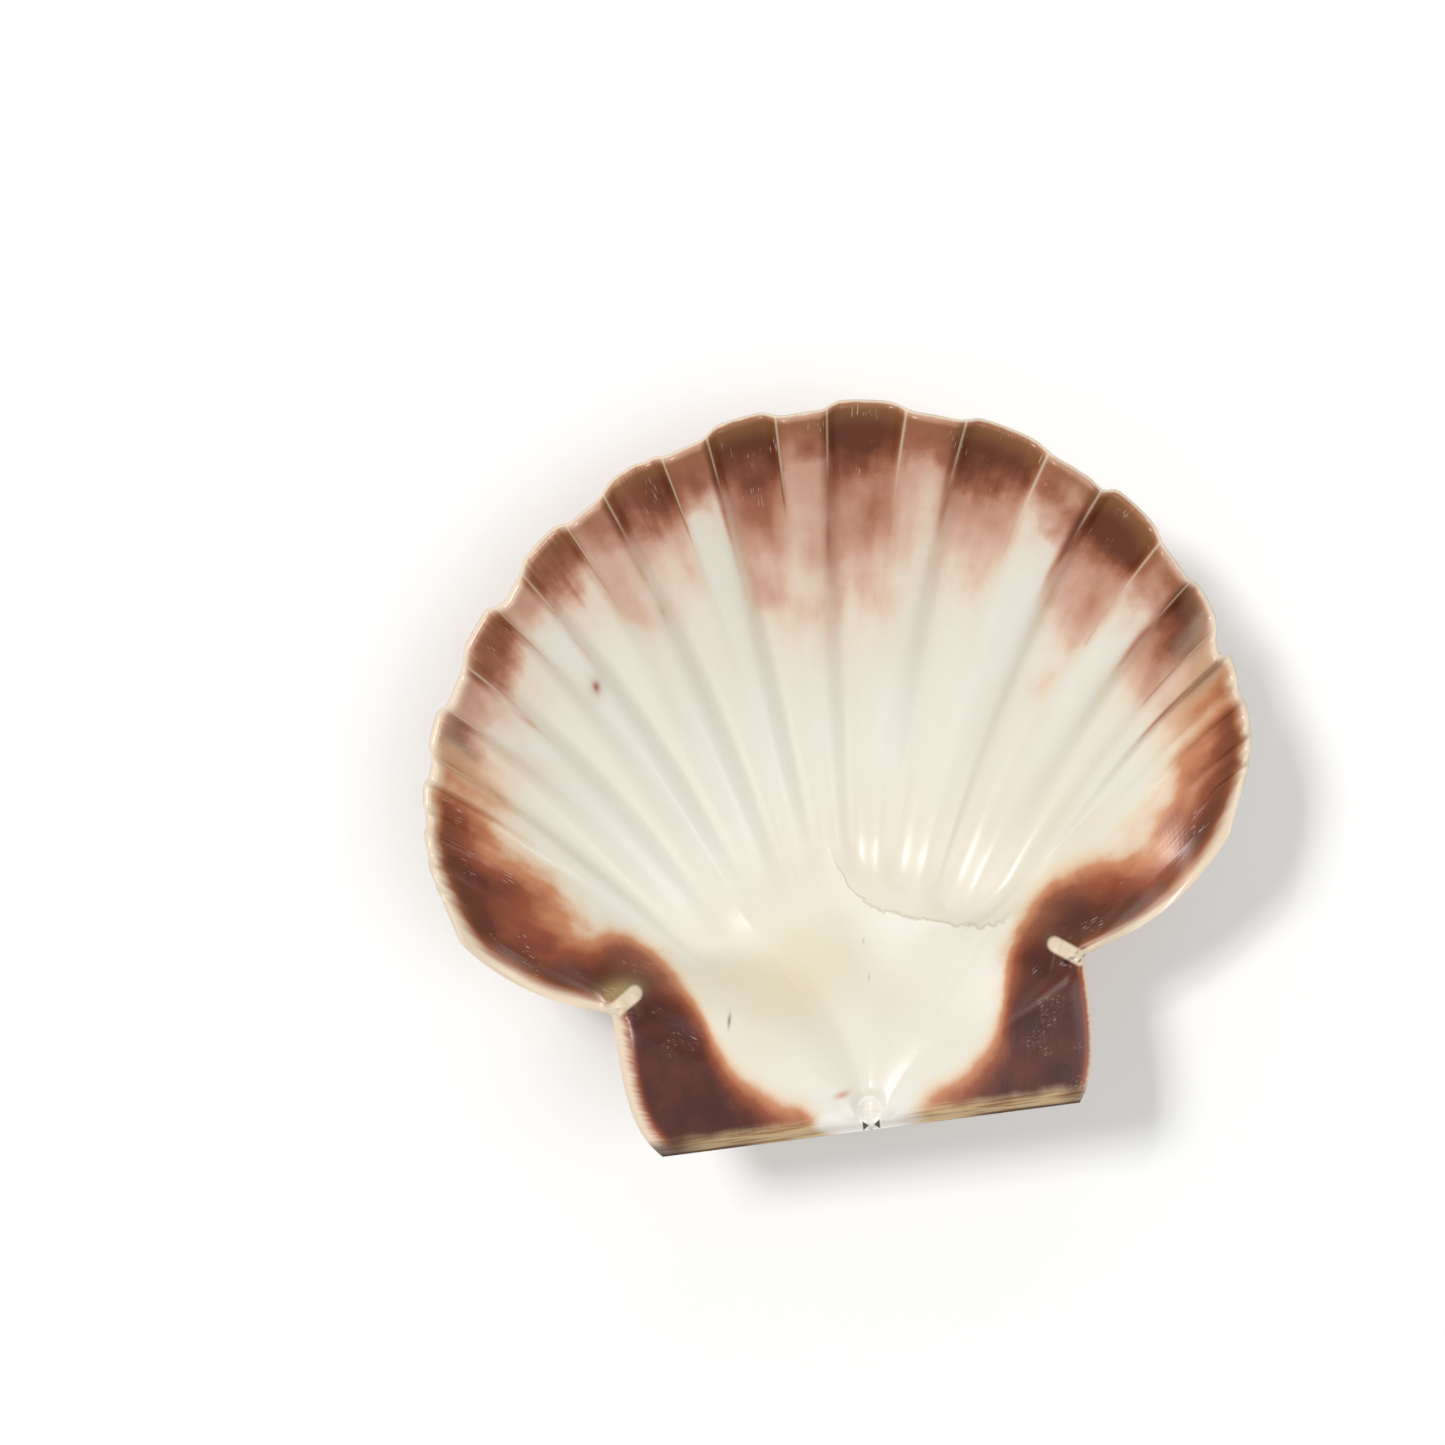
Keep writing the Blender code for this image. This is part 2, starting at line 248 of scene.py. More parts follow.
def net_ages():
    """Ages of the net's rows, from the rim to the beak."""
    edge = 1.0 - EDGE_DEPTH * np.linspace(0.0, 1.0, EDGE_ROWS) ** EDGE_CROWDING
    fan = np.linspace(edge[-1], BEAK_AGE, FAN_ROWS)[1:]
    beak = np.geomspace(BEAK_AGE, LAST_AGE, BEAK_ROWS)[1:]
    return np.concatenate([edge, fan, beak])


def distances(points, others):
    """How far each point is from the nearest of the others."""
    tree = kdtree.KDTree(len(others))
    for i, spot in enumerate(others.tolist()):
        tree.insert(spot, i)
    tree.balance()
    return np.array([tree.find(spot)[2] for spot in points.tolist()])


def spread_flat(angle, radius):
    """Points at fan angles and distances from the beak, in millimetres, with the cup spread flat."""
    ray = np.radians(angle)
    return np.stack([np.cos(ray), np.sin(ray), np.zeros_like(ray)], axis=-1) * radius[:, None] / MM


def rim_distance(age, fan):
    """How far each point of the net is from the rim, in millimetres, with the cup spread flat."""
    steps = np.linspace(0.0, NOTCH_SPAN, RIM_POINTS)
    edge = np.concatenate([np.linspace(0.0, 180.0, RIM_POINTS), NOTCHES[0] + steps, NOTCHES[1] - steps])
    return distances(spread_flat(fan, age * rim_radius(fan)), spread_flat(edge, rim_radius(edge)))


def net_mesh():
    """Two sheets, outside and inside, that share the rim, both hinge edges and the beak."""
    ages, angles = net_ages(), net_angles()
    rows, columns = len(ages), len(angles)
    outer = np.arange(rows * columns).reshape(rows, columns)
    inner = outer.copy()
    free = np.zeros((rows, columns), bool)
    free[1:, 1:-1] = True
    inner[free] = rows * columns + np.arange(free.sum())
    pole = rows * columns + int(free.sum())
    faces = []
    for sheet, turned in ((outer, True), (inner, False)):
        quads = np.stack([sheet[:-1, :-1], sheet[:-1, 1:], sheet[1:, 1:], sheet[1:, :-1]], axis=-1)
        quads = quads.reshape(-1, 4)
        caps = np.stack([sheet[-1, :-1], sheet[-1, 1:], np.full(columns - 1, pole)], axis=-1)
        for face in list(quads) + list(caps):
            faces.append(tuple(int(i) for i in (face[::-1] if turned else face)))
    age_grid, angle_grid = np.meshgrid(ages, angles, indexing="ij")
    age = np.concatenate([age_grid.ravel(), age_grid[free], [POLE_AGE]])
    fan = np.concatenate([angle_grid.ravel(), angle_grid[free], [90.0]])
    side = np.concatenate([np.where(free, 0.0, 0.5).ravel(), np.ones(free.sum()), [0.5]])
    mesh = bpy.data.meshes.new("scallop shell")
    mesh.from_pydata(np.stack([fan * MM, age * 0.1, side * 0.01], axis=-1).tolist(), [], faces)
    facts = {
        "age": age,
        "fan": fan,
        "side": side,
        "reach": rim_radius(fan),
        "disc share": rim_radius(fan) / disc_radius(fan),
        "rib phase": rib_phase(fan),
        "rib size": rib_size(fan),
        "from rim": rim_distance(age, fan),
    }
    for name, values in facts.items():
        layer = mesh.attributes.new(name, "FLOAT", "POINT")
        layer.data.foreach_set("value", values.astype(np.float32))
    return mesh


# ---------------------------------------------------------------------------------------------
# Arithmetic on node sockets
# ---------------------------------------------------------------------------------------------


def plug(tree, slot, value):
    if isinstance(value, Field):
        tree.links.new(value.socket, slot)
    else:
        slot.default_value = value


class Field:
    """A number that changes over a surface.  Arithmetic on it adds nodes to its tree."""

    def __init__(self, tree, socket):
        self.tree = tree
        self.socket = socket

    def math(self, operation, *values, clamp=False):
        node = self.tree.nodes.new("ShaderNodeMath")
        node.operation = operation
        node.use_clamp = clamp
        for slot, value in zip(node.inputs, values):
            plug(self.tree, slot, value)
        return Field(self.tree, node.outputs[0])

    def __add__(self, other):
        return self.math("ADD", self, other)

    def __radd__(self, other):
        return self.math("ADD", other, self)

    def __sub__(self, other):
        return self.math("SUBTRACT", self, other)

    def __rsub__(self, other):
        return self.math("SUBTRACT", other, self)

    def __mul__(self, other):
        return self.math("MULTIPLY", self, other)

    def __rmul__(self, other):
        return self.math("MULTIPLY", other, self)

    def __truediv__(self, other):
        return self.math("DIVIDE", self, other)

    def __pow__(self, other):
        return self.math("POWER", self, other)

    def __neg__(self):
        return self.math("MULTIPLY", self, -1.0)

    def sin(self):
        return self.math("SINE", self)

    def cos(self):
        return self.math("COSINE", self)

    def exp(self):
        return self.math("EXPONENT", self)

    def tanh(self):
        return self.math("TANH", self)

    def log(self):
        return self.math("LOGARITHM", self, math.e)

    def abs(self):
        return self.math("ABSOLUTE", self)

    def round(self):
        return self.math("ROUND", self)

    def least(self, other):
        return self.math("MINIMUM", self, other)

    def most(self, other):
        return self.math("MAXIMUM", self, other)

    def over(self, other):
        return self.math("GREATER_THAN", self, other)

    def held(self):
        return self.math("ADD", self, 0.0, clamp=True)

    def between(self, low, high):
        """From this field's 0 to its 1, the value goes from low to high."""
        return low + self * (high - low)

    def ease(self, low, high):
        """0 below low, 1 above high, and a smooth step between."""
        node = self.tree.nodes.new("ShaderNodeMapRange")
        node.interpolation_type = "SMOOTHSTEP"
        for name, value in (("Value", self), ("From Min", low), ("From Max", high)):
            plug(self.tree, node.inputs[name], value)
        return Field(self.tree, node.outputs["Result"])

    def hump(self, place, width):
        """1 at the place, falling off on both sides."""
        off = (self - place) / width
        return (-(off * off)).exp()

    def along_curve(self, points, top):
        """A drawn curve, read at this field from 0 to top."""
        node = self.tree.nodes.new("ShaderNodeFloatCurve")
        line = node.mapping.curves[0]
        line.points[0].location = (points[0][0] / top, points[0][1])
        line.points[1].location = (points[-1][0] / top, points[-1][1])
        for x, y in points[1:-1]:
            line.points.new(x / top, y)
        node.mapping.update()
        plug(self.tree, node.inputs["Value"], self / top)
        return Field(self.tree, node.outputs["Value"])


def vector(tree, x, y, z):
    node = tree.nodes.new("ShaderNodeCombineXYZ")
    for slot, value in zip(node.inputs, (x, y, z)):
        plug(tree, slot, value)
    return node.outputs[0]


def noise(tree, place, scale=1.0, detail=2.0, roughness=0.5):
    """Smooth noise from 0 to 1 at a place given by a vector socket."""
    node = tree.nodes.new("ShaderNodeTexNoise")
    tree.links.new(place, node.inputs["Vector"])
    node.inputs["Scale"].default_value = scale
    node.inputs["Detail"].default_value = detail
    node.inputs["Roughness"].default_value = roughness
    return Field(tree, node.outputs[0])


# ---------------------------------------------------------------------------------------------
# The growing tree
# ---------------------------------------------------------------------------------------------


def new_growing_tree():
    tree = bpy.data.node_groups.new("grow shell", "GeometryNodeTree")
    tree.interface.new_socket("Geometry", in_out="OUTPUT", socket_type="NodeSocketGeometry")
    tree.interface.new_socket("Geometry", in_out="INPUT", socket_type="NodeSocketGeometry")
    tree.interface.new_socket("Material", in_out="INPUT", socket_type="NodeSocketMaterial")
    for name in GROWTH:
        tree.interface.new_socket(name, in_out="INPUT", socket_type="NodeSocketFloat")
    start = tree.nodes.new("NodeGroupInput")
    sizes = {name: Field(tree, start.outputs[name]) for name in GROWTH}
    return tree, start, sizes


def known(tree, name):
    """What a point of the net knows about itself."""
    node = tree.nodes.new("GeometryNodeInputNamedAttribute")
    node.data_type = "FLOAT"
    node.inputs["Name"].default_value = name
    return Field(tree, next(out for out in node.outputs if out.enabled and out.name == "Attribute"))


def turn(age, fan, from_hinge, most, spread, fill, sizes):
    """How far this stage of the disc's growth has turned down about the hinge, in radians."""
    shrink = -age.log()
    flank = 1.0 + sizes["Flank Turn"] * (fan - 90.0).abs().ease(*FLANK) * age.ease(*FLANK_AGES)
    run = flank * (sizes["Coil"] * shrink + sizes["Coil Quickening"] * shrink * shrink)
    low, high = SHOULDER
    shallow = (1.0 - from_hinge.ease(low, high + spread)) * (1.0 - age.ease(*SHOULDER_AGES))
    deep = (run / most).tanh() * (1.0 - fill * (1.0 - age.ease(*BEAK_FILL_AGES)))
    return most * deep * (1.0 - (1.0 - sizes["Ear Share"]) * shallow)


def knob_distance(x, y):
    """How far a point is from the line down the middle of the nearer knob."""
    nearest = None
    for (from_x, from_y), (to_x, to_y) in KNOBS:
        run_x, run_y = to_x - from_x, to_y - from_y
        length = math.hypot(run_x, run_y)
        along = (((x - from_x) * run_x + (y - from_y) * run_y) / length**2).held()
        off_x = x - from_x - along * run_x
        off_y = y - from_y - along * run_y
        away = (off_x * off_x + off_y * off_y) ** 0.5
        nearest = away if nearest is None else nearest.least(away)
    return nearest


def knob_height(x, y, sizes):
    """The knobs at the notches, and the low ridge that runs from each towards the beak."""
    knob = 1.0 - knob_distance(x, y).ease(*KNOB_SIDES)
    ridge = None
    for _, (end_x, end_y) in KNOBS:
        length = math.hypot(end_x, end_y)
        along = (x * end_x + y * end_y) / length
        off = (x * end_y - y * end_x) / length
        rise = along.ease(CRUS_START * length, length) * (1.0 - along.ease(length, length + CRUS_END))
        one = rise * off.hump(0.0, CRUS_WIDTH)
        ridge = one if ridge is None else ridge + one
    return sizes["Knob Height"] * knob + sizes["Crus Height"] * ridge


def coil(tree, age, fan, reach, side, sizes):
    """A point of the smooth cup, and the direction into the hollow there, three fields each."""
    from_hinge = fan.least(180.0 - fan)
    off = (fan - 90.0) / FAN_HALF
    crowd = sizes["Crowding"] * (1.0 - age) * (1.0 - off * off).most(0.0)
    radius = age * reach
    bump = (((radius - DROOP_START) / DROOP_RANGE).held() * math.pi).sin()
    past = (from_hinge - NOTCHES[0]).most(0.0) / DROOP_SPREAD
    sag = sizes["Droop"] * bump * (-(past * past)).exp() / radius.most(DROOP_START)
    towards = (90.0 - fan).math("SIGN", 90.0 - fan)
    ray = (90.0 + (fan - 90.0) * (1.0 - crowd)) * (math.pi / 180.0) - towards * sag
    most = side.between(sizes["Outer Turn"], sizes["Inner Turn"])
    disc_age = age * known(tree, "disc share")
    spread = side * sizes["Inner Shoulder"] * (1.0 - disc_age.ease(*INNER_SHOULDER_AGES))
    fill = side * sizes["Beak Fill"]
    down = turn(disc_age, fan, from_hinge, most, spread, fill, sizes)
    before = turn(disc_age * (1.0 - AGE_STEP), fan, from_hinge, most, spread, fill, sizes)
    rate = (before - down) / AGE_STEP
    ray_x, ray_y, sink, rise = ray.cos(), ray.sin(), down.sin(), down.cos()
    run = radius * ray_y
    lean = ray_y * rate
    length = (1.0 + lean * lean) ** 0.5
    in_x = -(ray_x * lean) / length
    in_y = (sink - ray_y * lean * rise) / length
    in_z = (rise + ray_y * lean * sink) / length
    return (radius * ray_x, run * rise, -(run * sink)), (in_x, in_y, in_z)


def outside_relief(tree, age, phase, size, sizes):
    """How far the ribs and growth lines stand out from the outside of the cup."""
    off = (phase - phase.round()).abs()
    half, wall = sizes["Rib Share"] / 2.0, sizes["Rib Wall"] / 2.0
    rib = 1.0 - off.ease(half - wall, half + wall)
    crown = 1.0 - CROWN * (off / half) ** 2.0
    depth = size.between(NARROW_DEPTH, 1.0) * sizes["Rib Depth"] * age
    waver = noise(tree, vector(tree, phase * 1.3, age * 9.0, GROWTH_SEED), 1.0, 3.0)
    uneven = sizes["Rib Unevenness"] * (waver - 0.5) * 2.0 * age.ease(*UNEVEN_AGES)
    steps = None
    for stage in GROWTH_STOPS:
        wobble = stage + STOP_WAVER * (waver - 0.5)
        one = (1.0 - (age - wobble).ease(-STOP_EDGE, STOP_EDGE)) * age.ease(stage - STOP_RISE, stage)
        steps = one if steps is None else steps + one
    return rib * crown * depth + uneven * rib + sizes["Growth Step"] * steps


def inside_relief(tree, age, fan, phase, size, sizes):
    """How far the grooves under the ribs sink into the inside, less the keels on their edges."""
    off = (phase - phase.round()).abs()
    half, wall = sizes["Rib Share"] / 2.0, sizes["Rib Wall"] / 2.0
    wall = age.ease(*GROOVE_AGES).between(half * GROOVE_SPREAD, wall)
    rib = 1.0 - off.ease(half - wall, half + wall)
    begin = sizes["Scar Age"] + sizes["Side Ridge Delay"] * (1.0 - size)
    rise = fan.ease(*SCAR_FAN).between(*SCAR_RISES)
    grown = age.ease(begin, GROOVE_FULL).between(GROOVE_START, 1.0) * age.ease(begin, begin + rise)
    groove = rib * size.between(NARROW_DEPTH, 1.0) * sizes["Rib Depth"] * grown
    keel = off.hump(half + sizes["Rib Wall"] * KEEL_OFF, KEEL_WIDTH) * age.ease(*KEEL_AGES) * size
    broken = noise(tree, vector(tree, phase * 2.0, age * 6.0, KEEL_SEED), 1.0, 1.0)
    return groove - keel * sizes["Keel Height"] * broken.ease(*KEEL_BREAKS)


def inside_height(age, from_rim, from_hinge, y, sizes):
    """Thickness of the wall, rounded off at the rim and bevelled along the hinge."""
    deep = from_hinge.ease(*SHOULDER)
    wall = deep.between(sizes["Ear Thickness"], sizes["Wall Thickness"])
    thickness = wall + (sizes["Rim Thickness"] - wall) * age.ease(*THINNING_AGES)
    lip = (from_rim / LIP_RADIUS).least(1.0)
    rounded = (lip * (2.0 - lip)).most(0.0) ** 0.5
    notch = (1.0 - from_hinge.ease(*NOTCH_SIDES)) * age.ease(*NOTCH_AGES)
    rounded = notch.between(rounded, from_rim.ease(0.0, NOTCH_LIP))
    bevel = (y / sizes["Hinge Band"]).held()
    return thickness * rounded * bevel * (2.0 - bevel)


def pit_depth(x, y, sizes):
    """The little pit that holds the ligament, at the middle of the hinge."""
    across = x / PIT_SIZE[0]
    along = (y - PIT_PLACE) / PIT_SIZE[1]
    return sizes["Pit Depth"] * (-(across**4.0) - along**4.0).exp() * (y / PIT_EDGE).held()


def growing_tree():
    tree, start, sizes = new_growing_tree()
    age, fan, side = known(tree, "age"), known(tree, "fan"), known(tree, "side")
    reach, phase, size = known(tree, "reach"), known(tree, "rib phase"), known(tree, "rib size")
    from_hinge = fan.least(180.0 - fan)
    within = side.over(0.75)
    place, inward = coil(tree, age, fan, reach, within, sizes)
    x, y, z = place
    outer = -outside_relief(tree, age, phase, size, sizes)
    free_edge = (y / HINGE_SEAM).held()
    disc_age, from_rim = age * known(tree, "disc share"), known(tree, "from rim")
    inner = inside_height(disc_age, from_rim, from_hinge, y, sizes)
    inner -= inside_relief(tree, age, fan, phase, size, sizes)
    shift = within.between(outer, inner) * free_edge
    knobs = knob_height(x, y, sizes) * from_rim.ease(0.0, KNOB_TAPER)
    lift = within * (knobs - pit_depth(x, y, sizes))
    grown = vector(tree, x + inward[0] * shift, y + inward[1] * shift, z + inward[2] * shift + lift)
    move = tree.nodes.new("GeometryNodeSetPosition")
    tree.links.new(start.outputs["Geometry"], move.inputs["Geometry"])
    tree.links.new(grown, move.inputs["Position"])
    smooth = tree.nodes.new("GeometryNodeSetShadeSmooth")
    real = tree.nodes.new("GeometryNodeRealizeInstances")
    paint = tree.nodes.new("GeometryNodeSetMaterial")
    end = tree.nodes.new("NodeGroupOutput")
    tree.links.new(move.outputs["Geometry"], smooth.inputs["Geometry"])
    tree.links.new(smooth.outputs["Geometry"], real.inputs["Geometry"])
    tree.links.new(real.outputs["Geometry"], paint.inputs["Geometry"])
    tree.links.new(start.outputs["Material"], paint.inputs["Material"])
    tree.links.new(paint.outputs["Geometry"], end.inputs["Geometry"])
    return tree


def rest_turn():
    """The turn from the plane of the rim to how the valve lies."""
    roll = Matrix.Rotation(math.radians(REST_ROLL), 3, "Y")
    return roll @ Matrix.Rotation(math.radians(REST_TILT), 3, "X")


def edge_distance(mesh, points):
    """How far each point is from the rim, in millimetres: seen square on for the inside."""
    columns = len(net_angles())
    side = np.zeros(len(points), np.float32)
    mesh.attributes["side"].data.foreach_get("value", side)
    place = np.arange(0.0, columns - 1.0, EDGE_STEP)
    rim = [np.interp(place, np.arange(columns), points[:columns, axis]) for axis in range(3)]
    rim = np.stack(rim, axis=-1) / MM
    flat = np.array([1.0, 1.0, 0.0])
    distance = np.zeros(len(points))
    for within, squash in ((side > 0.5, flat), (side <= 0.5, np.ones(3))):
        distance[within] = distances(points[within] / MM * squash, rim * squash)
    return distance


def grown_shell(material):
    """The net, grown by the tree, made a plain mesh and laid on the table."""
    net = bpy.data.objects.new("shell net", net_mesh())
    bpy.context.scene.collection.objects.link(net)
    tree = growing_tree()
    growth = net.modifiers.new("grow", "NODES")
    growth.node_group = tree
    for item in tree.interface.items_tree:
        if item.in_out == "INPUT" and item.name in GROWTH:
            growth[item.identifier] = GROWTH[item.name]
        if item.in_out == "INPUT" and item.name == "Material":
            growth[item.identifier] = material
    net.update_tag()
    seen = net.evaluated_get(bpy.context.evaluated_depsgraph_get())
    mesh = bpy.data.meshes.new_from_object(seen)
    bpy.data.objects.remove(net)
    count = len(mesh.vertices)
    points = np.zeros(count * 3, np.float32)
    mesh.vertices.foreach_get("co", points)
    points = points.reshape(-1, 3).astype(float)
    places = {"across": points[:, 0], "along": points[:, 1], "to edge": edge_distance(mesh, points)}
    for name, values in places.items():
        layer = mesh.attributes.new(name, "FLOAT", "POINT")
        layer.data.foreach_set("value", values.astype(np.float32))
    points = points @ np.array(rest_turn()).T
    points[:, 2] -= points[:, 2].min() + WORN_DEPTH
    points[:, 2] = np.maximum(points[:, 2], 0.0)
    middle = (points.min(axis=0) + points.max(axis=0)) / 2
    points -= np.array([middle[0], middle[1], 0.0])
    mesh.vertices.foreach_set("co", points.astype(np.float32).ravel())
    mesh.update()
    shell = bpy.data.objects.new("scallop_shell", mesh)
    bpy.context.scene.collection.objects.link(shell)
    return shell, points[count - 1]


# ---------------------------------------------------------------------------------------------
# The shell's material
# ---------------------------------------------------------------------------------------------


def tone(red, green, blue):
    """A colour as painters' charts give it, 0 to 255, made linear."""
    linear = [((c / 255 + 0.055) / 1.055) ** 2.4 if c > 10 else c / 255 / 12.92 for c in (red, green, blue)]
    return (*linear, 1.0)


IVORY = tone(228, 225, 213)
WARM_IVORY = tone(224, 217, 198)
HONEY = tone(222, 208, 172)
CHALK = tone(244, 242, 234)
LIP = tone(232, 214, 188)
BAND = tone(206, 178, 134)
BAND_DARK = tone(150, 112, 76)
GREEN_TAN = tone(176, 154, 104)
OLIVE = tone(106, 66, 34)
RIM_TAN = tone(142, 98, 56)
MARK = tone(96, 60, 52)
SPOT = tone(160, 78, 50)
SCUFF = tone(226, 206, 192)
SCAR = tone(192, 178, 148)
CRUMB = tone(38, 30, 27)
PLUG = tone(206, 192, 164)
HINGE_CORNER = tone(66, 38, 30)
HINGE_LINE = tone(64, 46, 38)
WORN_BEAK = tone(236, 230, 222)
SMUDGE = tone(198, 126, 92)

SHINE = 0.45

# From bare ivory to the darkest brown, for the fan's rays.
RAY_STOPS = (
    (0.00, tone(230, 224, 207)),
    (0.18, tone(224, 199, 178)),
    (0.38, tone(200, 152, 128)),
    (0.58, tone(164, 104, 78)),
    (0.78, tone(130, 72, 47)),
    (1.00, tone(100, 50, 31)),
)
# From ivory by way of orange to maroon, for the lobes beside the ears and for the ears.
LOBE_STOPS = (
    (0.00, tone(231, 224, 205)),
    (0.16, tone(226, 194, 158)),
    (0.34, tone(196, 132, 94)),
    (0.54, tone(144, 74, 46)),
    (0.78, tone(98, 44, 28)),
    (1.00, tone(66, 27, 17)),
)
OUTSIDE_STOPS = (
    (0.00, tone(238, 226, 206)),
    (0.35, tone(218, 188, 158)),
    (0.65, tone(178, 122, 96)),
    (1.00, tone(126, 72, 58)),
)

# How far the brown of the rim reaches towards the beak: fan angle against age.
GROOVE_REACH = (
    (0, 0.90), (36, 0.85), (49, 0.82), (59, 0.77), (72, 0.75), (83, 0.73), (93, 0.74), (103, 0.77),
    (113, 0.84), (122, 0.86), (131, 0.84), (140, 0.80), (180, 0.9),
)
RIDGE_REACH = (
    (0, 0.90), (40, 0.85), (54, 0.85), (66, 0.86), (77, 0.76), (88, 0.72), (98, 0.90), (108, 0.76),
    (117, 0.88), (126, 0.84), (136, 0.82), (180, 0.9),
)
# How strong that brown is, around the fan.
GROOVE_STRENGTH = (
    (0, 0.4), (45, 0.62), (59, 0.60), (72, 0.50), (83, 0.60), (93, 0.60), (103, 0.42), (113, 0.32),
    (125, 0.32), (136, 0.5), (180, 0.5),
)
RIDGE_STRENGTH = (
    (0, 0.4), (45, 0.48), (54, 0.38), (66, 0.34), (77, 0.36), (88, 0.36), (98, 0.14), (108, 0.30),
    (117, 0.16), (126, 0.28), (136, 0.5), (180, 0.5),
)
# How strong the dark patches at the rim are, around the fan.
PATCH_STRENGTH = (
    (0, 1.0), (72, 0.95), (93, 1.0), (103, 0.95), (113, 0.82), (125, 0.80), (136, 1.0), (180, 1.0),
)
# Small dark marks: fan angle, age, half width in degrees, half length in age, strength.
MARKS = (
    (139.6, 0.335, 1.5, 0.0036, 0.7),
    (81.5, 0.276, 0.5, 0.005, 0.3),
    (79.0, 0.215, 0.5, 0.006, 0.3),
)
# Paler brown spots, given in the same way.
SPOTS = (
    (116.2, 0.818, 0.40, 0.0062, 0.6),
    (116.2, 0.818, 0.95, 0.0140, 0.35),
)
# Where each dark lobe ends: age against degrees from the hinge, in parts of 180.
RIGHT_LOBE = (
    (0.0, 0.24), (0.36, 0.245), (0.42, 0.238), (0.5, 0.236), (0.6, 0.220), (0.7, 0.212),
    (0.8, 0.212), (0.9, 0.222), (1.0, 0.25),
)
LEFT_LOBE = (
    (0.0, 0.20), (0.40, 0.212), (0.46, 0.235), (0.52, 0.245), (0.6, 0.225), (0.7, 0.225),
    (0.8, 0.235), (0.9, 0.25), (1.0, 0.268),
)
# Where the dark of the ears ends, out along the hinge against up from it, in parts of EAR_SPAN.
EAR_SPAN = 38.0
EAR_EDGE = (
    (0.0, 0.03), (0.16, 0.10), (0.26, 0.125), (0.37, 0.185), (0.47, 0.27), (0.58, 0.42),
    (0.68, 0.66), (0.80, 0.86), (1.0, 1.0),
)
# Where the muscle's scar ends, along the hinge against up from it, in parts of SCAR_SPAN.
SCAR_SPAN = (30.0, 50.0)
SCAR_LINE = (
    (0.0, 0.88), (0.04, 0.81), (0.13, 0.705), (0.28, 0.65), (0.44, 0.62), (0.75, 0.575), (1.0, 0.61),
)


def knowledge(tree, name):
    node = tree.nodes.new("ShaderNodeAttribute")
    node.attribute_name = name
    return Field(tree, node.outputs["Fac"])


def blend(tree, share, under, over):
    """A colour socket that goes from one colour to another as the share goes from 0 to 1."""
    node = tree.nodes.new("ShaderNodeMix")
    node.data_type = "RGBA"
    plug(tree, node.inputs[0], share)
    for slot, colour in ((node.inputs[6], under), (node.inputs[7], over)):
        if isinstance(colour, tuple):
            slot.default_value = colour
        else:
            tree.links.new(colour, slot)
    return node.outputs[2]


def ramp(tree, amount, stops):
    node = tree.nodes.new("ShaderNodeValToRGB")
    elements = node.color_ramp.elements
    elements[0].position, elements[0].color = stops[0]
    elements[1].position, elements[1].color = stops[-1]
    for position, colour in stops[1:-1]:
        elements.new(position).color = colour
    tree.links.new(amount.socket, node.inputs["Fac"])
    return node.outputs["Color"]


class Look:
    """The fields that the shell's colours are worked out from."""

    def __init__(self, tree):
        self.tree = tree
        self.age = knowledge(tree, "age")
        self.fan = knowledge(tree, "fan")
        self.side = knowledge(tree, "side")
        self.size = knowledge(tree, "rib size")
        self.x = knowledge(tree, "across")
        self.y = knowledge(tree, "along")
        self.rim = knowledge(tree, "to edge")
        self.phase = knowledge(tree, "rib phase")
        self.lean = self.phase - self.phase.round()
        self.off = self.lean.abs()
        self.from_hinge = self.fan.least(180.0 - self.fan)
        spot = tree.nodes.new("ShaderNodeTexCoord")
        self.spot = spot.outputs["Object"]

    def streak(self, per_degree, per_age, seed, detail=2.0):
        """Noise drawn out along the growth."""
        place = vector(self.tree, self.fan * per_degree, self.age * per_age, seed)
        return noise(self.tree, place, 1.0, detail)

    def cloud(self, scale, detail=2.0):
        return noise(self.tree, self.spot, scale, detail)


